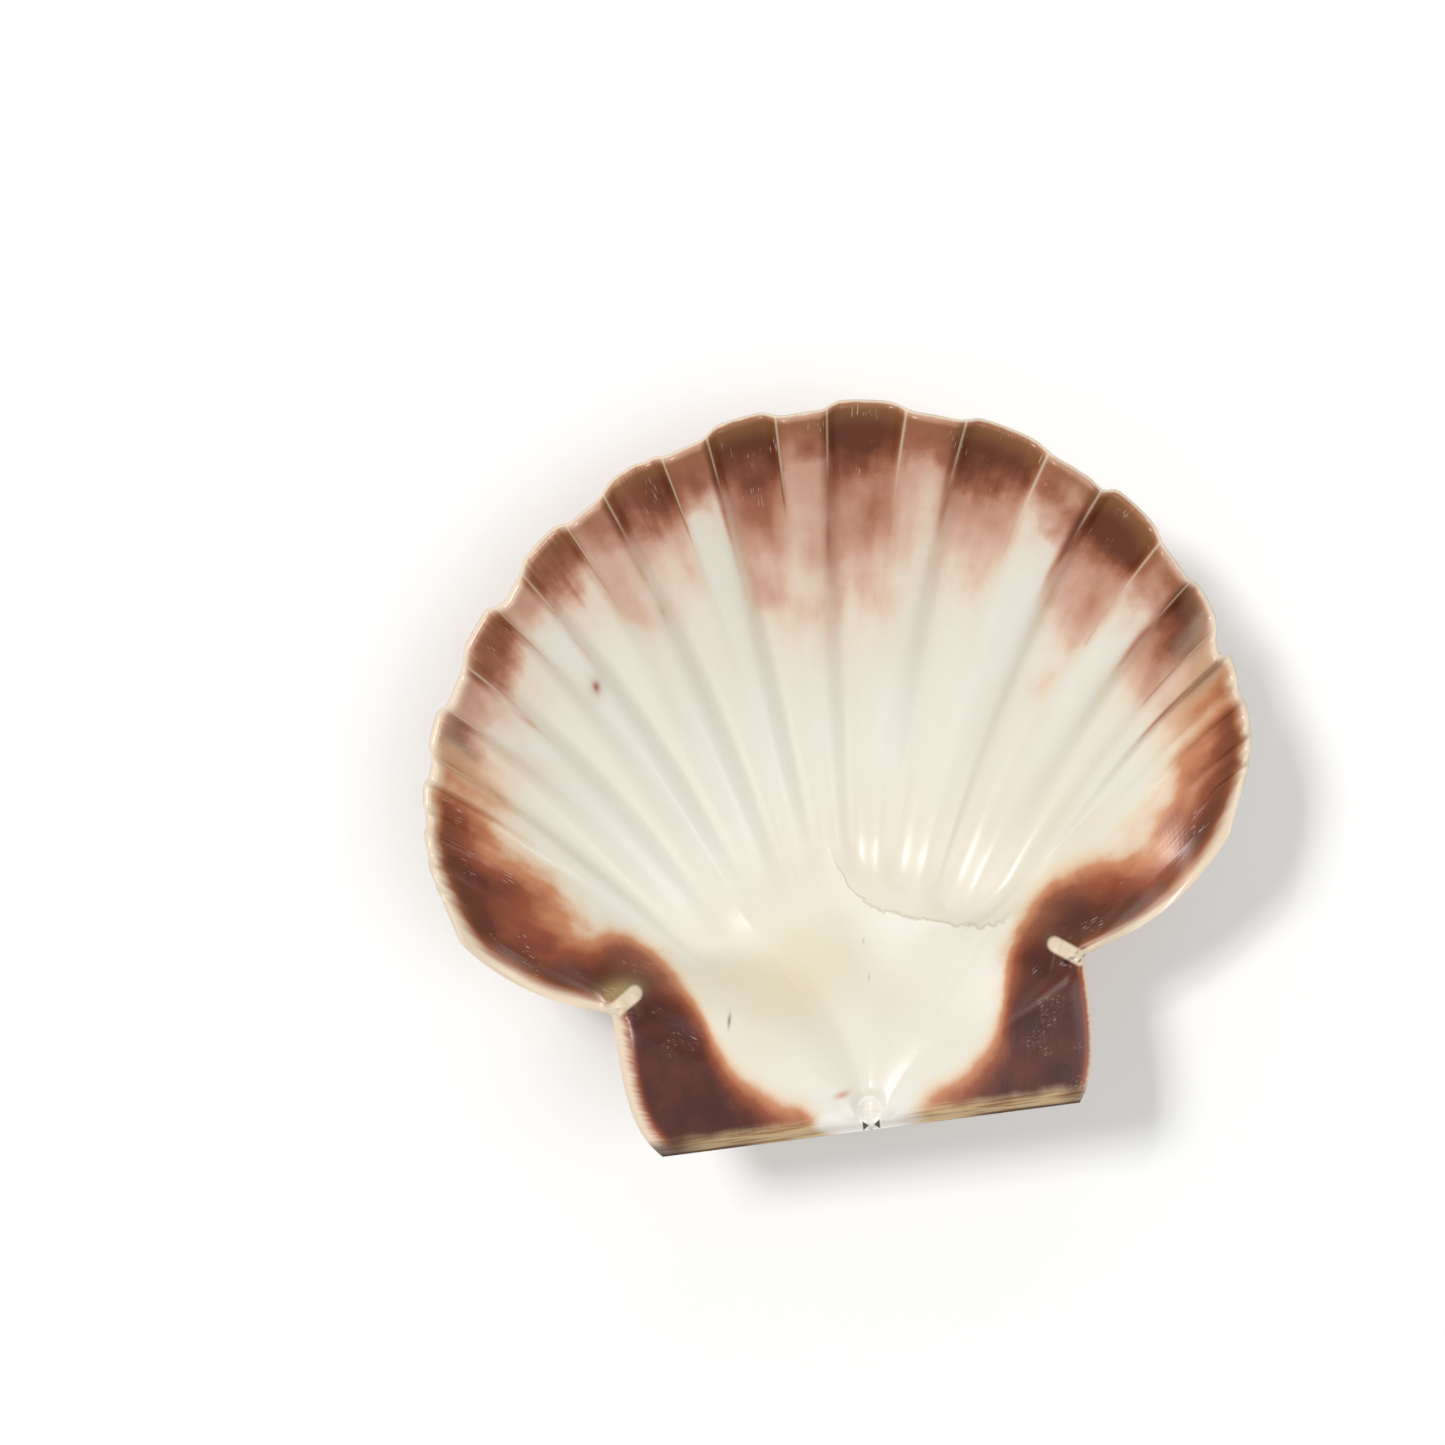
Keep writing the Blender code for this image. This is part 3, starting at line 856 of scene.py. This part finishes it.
def ray_amount(look):
    """How brown the fan is: stains below the rim, patches in the grooves, lines on their edges. The ochre
    line on each rib's shaded edge is partly painted shade, and the thin dark line beside each lit keel is
    painted shadow.
    """
    age, fan = look.age, look.fan
    fine = look.streak(1.7, 5.0, 1.0, 2.0)
    wide = look.streak(0.32, 8.0, 2.0, 2.0)
    cloud = look.cloud(130.0, 4.0)
    broad = look.cloud(60.0, 2.0)
    low = age.ease(0.86, 0.94)
    groove = 1.0 - look.off.ease(low.between(0.12, 0.23), low.between(0.40, 0.31))
    shown = age + (fine - 0.5) * 0.012 + (wide - 0.5) * 0.07
    shown = shown + (cloud - 0.5) * 0.08 + (broad - 0.5) * 0.12
    mottled = 0.35 + 0.5 * cloud + 0.4 * wide + 0.45 * broad
    stain = (shown - fan.along_curve(GROOVE_REACH, 180.0)).ease(-0.09, 0.22)
    stain = stain * fan.along_curve(GROOVE_STRENGTH, 180.0) * mottled
    amber = look.streak(3.4, 3.0, 3.0, 2.0).ease(0.35, 0.7) * (1.0 - look.rim.ease(0.8, 4.0))
    patch = (age + (cloud - 0.5) * 0.06 + (fine - 0.5) * 0.02 - look.off * 0.05).ease(0.888, 0.958)
    patch = patch * (0.22 + 0.80 * cloud + 0.15 * fine - 0.30 * amber)
    patch = patch * fan.along_curve(PATCH_STRENGTH, 180.0)
    on_ridge = (shown - fan.along_curve(RIDGE_REACH, 180.0)).ease(-0.08, 0.19)
    on_ridge = on_ridge * fan.along_curve(RIDGE_STRENGTH, 180.0) * mottled
    tan = (age + (cloud - 0.5) * 0.08 + (wide - 0.5) * 0.06).ease(0.87, 0.985)
    tan = tan * (0.05 + 0.45 * cloud + 0.35 * broad + 0.35 * wide)
    tan = tan * fan.ease(98.0, 118.0).between(1.0, 0.62)
    on_ridge = on_ridge.most(tan)
    gate = look.streak(0.35, 5.0, 7.0, 2.0)
    # Ochre line on the shaded edge of each rib: partly the rib's own colour, partly painted shade.
    ochre_and_shade = look.lean.hump(0.31, 0.035) * (shown - 0.78).ease(0.0, 0.14) * gate.ease(0.36, 0.6) * 0.42
    # Painted shadow: a thin dark line just beside the bright keel on the lit side of each rib.
    dark = look.lean.hump(-0.285, 0.014) * (shown - 0.80).ease(0.0, 0.10) * gate.ease(0.44, 0.6) * 0.30
    inside = stain + patch * (1.0 - stain * 0.55)
    return (groove * inside + (1.0 - groove) * on_ridge + ochre_and_shade + dark).held()


def keel_and_highlight_share(look):
    """The pale keels that run down from the rim on both edges of each groove; the longer one, on the side
    facing the light, is partly a painted highlight.
    """
    broken = look.streak(0.4, 7.0, 11.0, 1.0)
    # Partly painted highlight: the keel that faces the light, drawn further down the rib.
    right = look.lean.hump(-0.292, 0.009) * (look.age + (broken - 0.5) * 0.12).ease(0.86, 0.95)
    left = look.lean.hump(0.292, 0.009) * (look.age + (broken - 0.5) * 0.10).ease(0.90, 0.97)
    return (right + left) * look.size


def lobe_amount(look):
    """How maroon the flanks are, beside the ears."""
    age = look.age
    soft = look.cloud(60.0, 4.0) - 0.5
    spread = age.ease(0.52, 0.72)
    waver = soft * 12.0 + (look.streak(0.45, 5.0, 4.0, 2.0) - 0.5) * 6.0 * spread
    grain = look.cloud(130.0, 4.0)
    right_edge = age.along_curve(RIGHT_LOBE, 1.0) * 180.0
    left_edge = age.along_curve(LEFT_LOBE, 1.0) * 180.0
    reach = spread.between(-4.0, -9.0)
    right = (right_edge - look.fan + waver).ease(reach, 9.5) * (age + soft * 0.22).ease(0.34, 0.48)
    left = (left_edge - (180.0 - look.fan) + waver).ease(spread.between(-4.5, -8.0), 9.5)
    left = left * (age + soft * 0.22).ease(0.44, 0.56)
    gap = look.y.hump(26.9 * MM, 1.2 * MM) * (-look.x / MM).ease(25.0, 29.0)
    gap = gap * (-look.age).ease(-0.66, -0.6)
    return ((right + left) * (0.58 + 0.50 * grain) * (1.0 - gap * 0.6)).held()


def ear_amount(look):
    """How maroon the ears are: bare beside their inner ridge and towards the beak."""
    out = (look.x.abs() / (EAR_SPAN * MM)).held()
    edge = out.along_curve(EAR_EDGE, 1.0)
    soft = look.cloud(90.0, 4.0) - 0.5
    depth = edge * EAR_SPAN - look.y / MM + soft * 7.0
    grain = look.cloud(170.0, 4.0)
    return (depth.ease(-4.6, 11.5) * out.ease(0.10, 0.30) * (0.70 + 0.46 * grain)).held()


def margin_width(look):
    """Width of the pale edge in millimetres: narrow on the fan, wider on the flanks and left ear."""
    flank = look.from_hinge.ease(38.0, 62.0).between(1.75, 0.60) + look.fan.ease(105.0, 125.0) * 0.45
    on_ear = 1.0 - look.from_hinge.ease(30.5, 32.5)
    ear = (-look.x / MM).ease(-1.0, 1.0).between(0.85, 2.3)
    return flank + (ear - flank) * on_ear


def knob_share(look):
    return 1.0 - knob_distance(look.x, look.y).ease(0.9 * MM, 1.5 * MM)


def mark_share(look, marks):
    share = None
    for fan, age, width, length, strength in marks:
        one = look.fan.hump(fan, width) * look.age.hump(age, length) * strength
        share = one if share is None else share + one
    return share.held()


def inside_colour(look):
    tree = look.tree
    age, fan, x, y = look.age, look.fan, look.x, look.y
    soft = look.cloud(34.0, 3.0)
    colour = blend(tree, soft.ease(0.35, 0.7), IVORY, WARM_IVORY)
    honey = fan.hump(112.0, 30.0) * age.hump(0.27, 0.13) * (0.45 + 0.6 * soft)
    colour = blend(tree, honey.held() * 0.8, colour, HONEY)
    scar = scar_offset(look)
    white = (scar.ease(-20.0, -2.0) - scar.ease(-0.6, 0.2)) * x.ease(-4.0 * MM, 10.0 * MM)
    colour = blend(tree, white * (0.3 + 0.5 * soft), colour, CHALK)
    groove = (1.0 - look.off.ease(0.16, 0.34)) * look.size * age.ease(0.38, 0.5) * 0.35
    colour = blend(tree, groove, colour, WARM_IVORY)
    width = margin_width(look)
    halo = look.rim.ease(width * 0.9, width + 1.3).between(0.55, 1.0)
    on_disc = look.from_hinge.ease(32.6, 33.6)
    rays = ray_amount(look) * halo
    colour = blend(tree, (rays * 4.0).held() * on_disc, colour, ramp(tree, rays, RAY_STOPS))
    tanned = rays * (1.0 - look.rim.ease(0.8, 4.6)) * look.from_hinge.ease(42.0, 56.0)
    colour = blend(tree, tanned * 0.75, colour, RIM_TAN)
    near = 1.0 - look.from_hinge.ease(40.0, 50.0)
    maroon = (lobe_amount(look) * on_disc).most(ear_amount(look) * near) * halo
    colour = blend(tree, (maroon * 3.2).held(), colour, ramp(tree, maroon, LOBE_STOPS))
    olive = (1.0 - look.rim.ease(1.0, 6.5)) * on_disc * (1.0 - look.from_hinge.ease(42.0, 56.0))
    colour = blend(tree, olive * maroon * 0.7, colour, OLIVE)
    green = x.hump(-37.0 * MM, 3.0 * MM) * y.hump(26.5 * MM, 1.8 * MM)
    colour = blend(tree, green * 0.75, colour, GREEN_TAN)
    dark = (rays + maroon).ease(0.45, 0.7)
    scratch = look.streak(9.0, 40.0, 31.0, 2.0).ease(0.60, 0.70)
    scratch = scratch * look.cloud(240.0, 1.0).ease(0.58, 0.66)
    colour = blend(tree, scratch * dark * 0.55, colour, SCUFF)
    # Pale keels, partly their own colour and partly a painted highlight on the side facing the light.
    colour = blend(tree, keel_and_highlight_share(look) * 0.62, colour, LIP)
    waver = (look.streak(1.2, 5.0, 8.0, 2.0) - 0.5) * 0.7
    margin = 1.0 - (look.rim + waver * width).ease(width * 0.35, width * 1.15)
    colour = blend(tree, margin * 0.92, colour, LIP)
    colour = blend(tree, knob_share(look) * 0.9, colour, LIP)
    colour = blend(tree, scar.hump(0.0, 0.22) * scar_reach(look) * 0.32, colour, SCAR)
    colour = blend(tree, mark_share(look, MARKS), colour, MARK)
    colour = blend(tree, mark_share(look, SPOTS), colour, SPOT)
    return hinge_colour(look, colour)


def scar_offset(look):
    """How far each point is past the edge of the muscle's scar, in millimetres."""
    waver = noise(look.tree, vector(look.tree, look.x / MM * 0.30, look.y / MM * 0.3, 15.0), 1.0, 5.0, 0.7)
    line = (look.x / (SCAR_SPAN[0] * MM)).held().along_curve(SCAR_LINE, 1.0) * SCAR_SPAN[1]
    return look.y / MM - line - (waver - 0.5) * 4.2


def scar_reach(look):
    x = look.x / MM
    return x.ease(-0.5, 1.5) * (1.0 - x.ease(25.0, 29.0))


def hinge_colour(look, colour):
    """The streaked ligament band, the whitened beak and the dried crumbs in the ligament's pit."""
    tree = look.tree
    x, y = look.x / MM, look.y / MM
    lines = noise(tree, vector(tree, x * 0.12, y * 1.9, 9.0), 1.0, 3.0)
    edge = y + (noise(tree, vector(tree, x * 0.22, 3.0, 4.0), 1.0, 3.0) - 0.5) * 2.6
    band = (1.0 - edge.ease(1.3, 3.7)) * x.abs().ease(3.0, 8.0) * (1.0 - look.from_hinge.ease(24.0, 40.0))
    streaked = blend(tree, lines.ease(0.40, 0.68), BAND, BAND_DARK)
    corner = (-x).ease(24.0, 32.0) * 0.85 + x.ease(29.0, 33.0) * 0.5
    streaked = blend(tree, corner, streaked, HINGE_CORNER)
    colour = blend(tree, band.held() * 0.92, colour, streaked)
    seam = (1.0 - y.ease(0.15, 0.55)) * (x.ease(12.0, 20.0) + (-x).ease(16.0, 22.0))
    colour = blend(tree, seam * 0.85, colour, HINGE_LINE)
    white = (1.0 - ((x + 3.6) * (x + 3.6) * 0.16 + (y - 2.0) * (y - 2.0)).ease(2.2, 6.5)) * 0.8
    white = white.most((1.0 - ((x - 1.0) * (x - 1.0) * 0.5 + y * y).ease(10.0, 40.0)) * 0.5)
    colour = blend(tree, white, colour, WORN_BEAK)
    smudge = (x + 3.9).hump(0.0, 1.3) * (y - 6.3 - (x + 3.9) * 0.2).hump(0.0, 0.55) * 0.7
    colour = blend(tree, smudge, colour, SMUDGE)
    return pit_colour(look, x - 0.1, y, colour)


def pit_colour(look, x, y, colour):
    """A whitish ring round the ligament's pale plug, and a dark crumb on each side of a pillar."""
    tree = look.tree
    up = y - 3.3
    away = (x * x + up * up) ** 0.5
    fibre = noise(tree, vector(tree, x * 0.8, y * 2.2, 17.0), 1.0, 2.0)
    plug_colour = blend(tree, fibre, PLUG, CHALK)
    colour = blend(tree, (1.0 - away.ease(1.4, 1.9)) * 0.7, colour, plug_colour)
    colour = blend(tree, away.hump(1.85, 0.28) * fibre.ease(0.3, 0.6) * 0.8, colour, CHALK)
    side = x.abs()
    crumb = ((side - 0.4) / 0.95 - (y - 0.87).abs() / 0.85).ease(-0.05, 0.12)
    crumb = crumb * (1.0 - side.ease(1.25, 1.45))
    return blend(tree, crumb * 0.95, colour, CRUMB)


def outside_colour(look):
    tree = look.tree
    age, fan = look.age, look.fan
    blot = noise(tree, vector(tree, look.phase * 0.9, age * 6.0, 12.0), 1.0, 3.0, 0.6)
    fine = look.streak(2.0, 14.0, 13.0, 3.0)
    zones = noise(tree, vector(tree, fan * 0.01, age * 16.0, 14.0), 1.0, 2.0)
    amount = (blot.ease(0.38, 0.68) * 0.55 + zones.ease(0.45, 0.7) * 0.35 + (fine - 0.5) * 0.5)
    amount = amount * age.ease(0.08, 0.45) * (1.0 - 0.25 * look.off.ease(0.2, 0.32))
    colour = ramp(tree, (amount + 0.05).held(), OUTSIDE_STOPS)
    return blend(tree, (1.0 - look.rim.ease(0.4, 2.2)) * 0.85, colour, LIP)


def surface_height(look):
    """Fine relief in millimetres, for both sides."""
    tree = look.tree
    age = look.age
    hair = look.streak(5.0, 5.0, 21.0, 2.0)
    lumps = look.cloud(90.0, 2.0)
    rings = noise(tree, vector(tree, look.fan * 0.03, age * 130.0, 22.0), 1.0, 2.0)
    scar = scar_offset(look).ease(-0.35, 0.35) * scar_reach(look)
    at_notch = look.from_hinge.ease(30.4, 31.3) - look.from_hinge.ease(33.4, 34.6)
    even = 1.0 - at_notch.held()
    warts = look.cloud(330.0, 2.0) * look.x.hump(13.0 * MM, 9.0 * MM) * look.y.hump(20.0 * MM, 14.0 * MM)
    inside = (hair * age.ease(0.6, 1.0) * 0.03 + rings * 0.012) * even
    inside = inside + lumps * 0.10 - scar * 0.10 + warts * 0.12
    thread = (look.phase * (2.0 * math.pi * 9.0)).sin() * 0.5 + 0.5
    outside = thread * 0.09 * look.size + rings * 0.16 * even + look.cloud(900.0, 3.0) * 0.06
    return look.side.over(0.5).between(outside, inside)


def shell_material():
    material = bpy.data.materials.new("scallop shell")
    material.use_nodes = True
    tree = material.node_tree
    surface = tree.nodes["Principled BSDF"]
    look = Look(tree)
    within = look.side.ease(0.45, 0.75)
    colour = blend(tree, within, outside_colour(look), inside_colour(look))
    tree.links.new(colour, surface.inputs["Base Color"])
    shine = look.cloud(60.0, 3.0)
    rough = within.between(0.50 + (shine - 0.5) * 0.2, 0.29 + (shine - 0.5) * 0.16)
    plug(tree, surface.inputs["Roughness"], rough)
    surface.inputs["Specular IOR Level"].default_value = SHINE
    bump = tree.nodes.new("ShaderNodeBump")
    bump.inputs["Strength"].default_value = 1.0
    bump.inputs["Distance"].default_value = MM
    plug(tree, bump.inputs["Height"], surface_height(look))
    tree.links.new(bump.outputs["Normal"], surface.inputs["Normal"])
    return material


# ---------------------------------------------------------------------------------------------
# The floor, the lights and the camera
# ---------------------------------------------------------------------------------------------

FLOOR_SIZE = 4.0
FLOOR_HEIGHT = -0.05 * MM  # a hair below the worn facet, so that the two do not share a plane
FLOOR_COLOUR = (0.93, 0.93, 0.92, 1.0)
FLOOR_ROUGHNESS = 0.8
FRAME_MIDDLE = (-15.1 * MM, 67.3 * MM)
FRAME_WIDTH = 229.8 * MM
CAMERA_HEIGHT = 0.42
CAMERA_ROLL = 7.41
SENSOR = 36.0
CLIP_START = 0.01

# Name, place, aim, size and power of each soft light.
SOFT_LIGHTS = (
    ("key", (-1.20, 0.90, 2.15), (0.0, 0.0, 0.02), 0.55, 31.0),
    ("sparkle", (-0.85, 1.05, 1.90), (0.0, 0.0, 0.02), 0.10, 3.6),
    ("top fill", (0.90, -0.30, 2.20), (0.0, 0.0, 0.02), 1.60, 14.0),
    ("far fill", (0.30, 2.00, 1.30), (0.0, 0.0, 0.02), 1.20, 3.0),
)
AIR = (0.97, 0.98, 1.0, 1.0)
AIR_STRENGTH = 0.46


def floor():
    mesh = bpy.data.meshes.new("floor")
    half = FLOOR_SIZE / 2
    turns = ((-1, -1), (1, -1), (1, 1), (-1, 1))
    corners = [(x * half, y * half, FLOOR_HEIGHT) for x, y in turns]
    mesh.from_pydata(corners, [], [(0, 1, 2, 3)])
    plane = bpy.data.objects.new("floor", mesh)
    bpy.context.scene.collection.objects.link(plane)
    material = bpy.data.materials.new("pale floor")
    material.use_nodes = True
    surface = material.node_tree.nodes["Principled BSDF"]
    surface.inputs["Base Color"].default_value = FLOOR_COLOUR
    surface.inputs["Roughness"].default_value = FLOOR_ROUGHNESS
    mesh.materials.append(material)
    return plane


def soft_lights():
    for name, place, aim, size, power in SOFT_LIGHTS:
        lamp = bpy.data.lights.new(name, "AREA")
        lamp.shape = "DISK"
        lamp.size = size
        lamp.energy = power
        light = bpy.data.objects.new(name, lamp)
        light.location = place
        light.rotation_euler = (Vector(aim) - Vector(place)).to_track_quat("-Z", "Y").to_euler()
        bpy.context.scene.collection.objects.link(light)
    world = bpy.data.worlds.new("studio air")
    world.use_nodes = True
    air = world.node_tree.nodes["Background"]
    air.inputs["Color"].default_value = AIR
    air.inputs["Strength"].default_value = AIR_STRENGTH
    bpy.context.scene.world = world


def camera(beak):
    """Looks square on to the plane of the rim, with the hinge a little higher on the right."""
    roll = math.radians(CAMERA_ROLL)
    right = Vector((math.cos(roll), -math.sin(roll), 0.0))
    up = Vector((math.sin(roll), math.cos(roll), 0.0))
    lens = bpy.data.cameras.new("camera")
    lens.sensor_width = SENSOR
    lens.lens = SENSOR * CAMERA_HEIGHT / FRAME_WIDTH
    lens.clip_start = CLIP_START
    eye = bpy.data.objects.new("camera", lens)
    turned = rest_turn()
    place = turned @ Vector((*FRAME_MIDDLE, CAMERA_HEIGHT)) + Vector(beak)
    axes = Matrix((turned @ right, turned @ up, turned @ Vector((0.0, 0.0, 1.0)))).transposed()
    eye.matrix_world = Matrix.Translation(place) @ axes.to_4x4()
    bpy.context.scene.collection.objects.link(eye)
    bpy.context.scene.camera = eye


def main():
    shell, beak = grown_shell(shell_material())
    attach(shell, "root")
    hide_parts(NODE)
    floor()
    soft_lights()
    camera(beak)
    bpy.context.scene.view_settings.view_transform = "Standard"


main()
